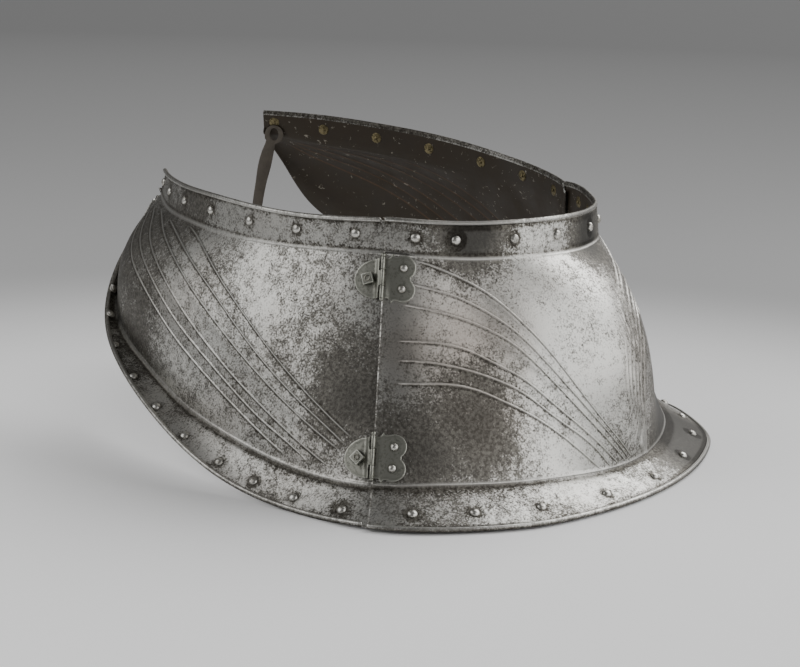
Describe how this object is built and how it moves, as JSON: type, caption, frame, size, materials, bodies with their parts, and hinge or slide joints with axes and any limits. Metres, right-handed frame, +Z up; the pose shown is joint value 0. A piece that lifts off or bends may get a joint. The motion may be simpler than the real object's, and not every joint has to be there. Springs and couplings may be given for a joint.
{
  "type": "peytral, a horse's steel breast armour",
  "caption": "Steel breast armour for a horse: a fluted, bulging centre plate with a flared foot, a swept side plate hinged on each side, and a leather strap.",
  "frame": {"origin": "centre of the footprint's bounding box, on the surface it stands on", "axes": "+Z up; the horse faces -Y, so +Y runs towards the rear tips; -X is the horse's right side"},
  "size_m": [0.6628, 0.7058, 0.3245],
  "materials": {
    "plate_steel": "worn bright steel with dark mottled patina",
    "hinge_steel": "dull greenish grey steel",
    "bright_steel": "worn bright steel",
    "leather": "old dark leather"
  },
  "bodies": {
    "centre": {"centre_plate": "plate_steel", "centre_leaf_upper_right": "hinge_steel", "pin_upper_right": "hinge_steel", "leaf_rivet_high_upper_right": "bright_steel", "leaf_rivet_low_upper_right": "bright_steel", "centre_leaf_lower_right": "hinge_steel", "pin_lower_right": "hinge_steel", "leaf_rivet_high_lower_right": "bright_steel", "leaf_rivet_low_lower_right": "bright_steel", "centre_leaf_upper_left": "hinge_steel", "pin_upper_left": "hinge_steel", "leaf_rivet_high_upper_left": "bright_steel", "leaf_rivet_low_upper_left": "bright_steel", "centre_leaf_lower_left": "hinge_steel", "pin_lower_left": "hinge_steel", "leaf_rivet_high_lower_left": "bright_steel", "leaf_rivet_low_lower_left": "bright_steel"},
    "side_right": {"side_plate_right": "plate_steel", "side_leaf_upper_right": "hinge_steel", "stud_upper_right": "hinge_steel", "nut_upper_right": "hinge_steel", "side_leaf_lower_right": "hinge_steel", "stud_lower_right": "hinge_steel", "nut_lower_right": "hinge_steel"},
    "side_left": {"side_plate_left": "plate_steel", "strap": "leather", "side_leaf_upper_left": "hinge_steel", "stud_upper_left": "hinge_steel", "nut_upper_left": "hinge_steel", "side_leaf_lower_left": "hinge_steel", "stud_lower_left": "hinge_steel", "nut_lower_left": "hinge_steel"}
  },
  "joints": [
    {"name": "hinge_right", "type": "hinge", "parent": "centre", "child": "side_right", "pos_m": [-0.22306, -0.12437, 0.22017], "axis": [0.3549, 0.2112, 0.9107], "range_deg": [0, 30]},
    {"name": "hinge_left", "type": "hinge", "parent": "centre", "child": "side_left", "pos_m": [0.17307, -0.12437, 0.22017], "axis": [0.3549, -0.2112, -0.9107], "range_deg": [-22, 8]}
  ]
}
